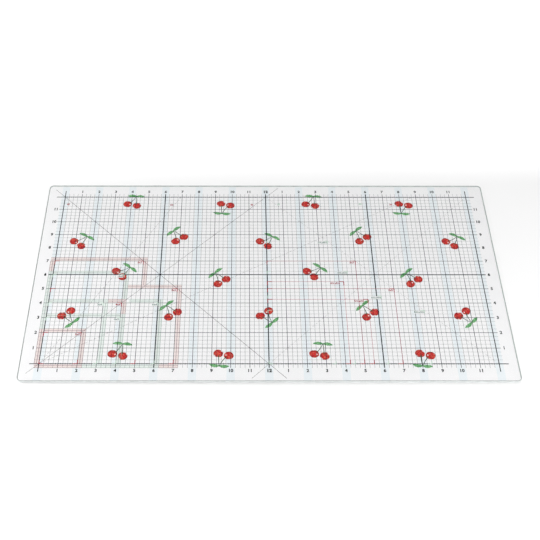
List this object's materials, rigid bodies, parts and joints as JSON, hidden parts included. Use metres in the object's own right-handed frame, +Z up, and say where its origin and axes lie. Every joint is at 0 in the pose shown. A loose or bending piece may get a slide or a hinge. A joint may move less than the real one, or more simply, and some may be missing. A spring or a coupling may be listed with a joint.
{
  "type": "glass cutting mat",
  "caption": "Flat tempered glass cutting mat with rounded corners, an inch ruler grid, angle guides, template outlines and a cherry pattern printed underneath, on clear bumper feet.",
  "frame": {"origin": "centre of the mat, on the surface that its feet stand on", "axes": "+X along the long edge, rising with the ruler's numbers; +Y away from the user; +Z up out of the cutting face"},
  "size_m": [0.6604, 0.3556, 0.007],
  "materials": {
    "clear_glass": "polished, clear, with a faint green edge",
    "white_ink": "even white flood coat",
    "pale_blue_ink": "thin pale blue-grey stripe",
    "grey_ink": "fine printed line",
    "charcoal_ink": "printed line",
    "navy_ink": "printed heavy line",
    "black_ink": "printed numerals",
    "guide_ink": "fine printed guide",
    "pink_ink": "pale printed band",
    "pale_green_ink": "pale printed band",
    "mint_ink": "printed corner mark",
    "soft_red_ink": "fine printed line",
    "soft_green_ink": "fine printed line",
    "red_ink": "printed corner mark",
    "cherry_red_ink": "printed, mottled like paint",
    "leaf_green_ink": "printed, mottled like paint",
    "stem_green_ink": "printed stem",
    "clear_silicone": "clear soft bumper",
    "adhesive": "clear adhesive disc"
  },
  "bodies": {
    "root": {"glass_plate": "clear_glass", "white_backing": "white_ink", "plaid_stripes": "pale_blue_ink", "quarter_lines_upright": "grey_ink", "quarter_lines_across": "grey_ink", "inch_lines_upright": "charcoal_ink", "inch_lines_across": "charcoal_ink", "bold_lines_upright": "navy_ink", "bold_lines_across": "navy_ink", "ruler_ticks": "charcoal_ink", "numerals": "black_ink", "angle_guides": "guide_ink", "red_seam_bands": "pink_ink", "green_seam_bands": "pale_green_ink", "red_seam_lines": "soft_red_ink", "green_seam_lines": "soft_green_ink", "red_corner_marks": "red_ink", "green_corner_marks": "mint_ink", "cherry_fruit": "cherry_red_ink", "cherry_highlights": "pink_ink", "cherry_leaves": "leaf_green_ink", "cherry_stems": "stem_green_ink", "bumper_feet": "clear_silicone", "foot_adhesive_discs": "adhesive"}
  },
  "joints": []
}
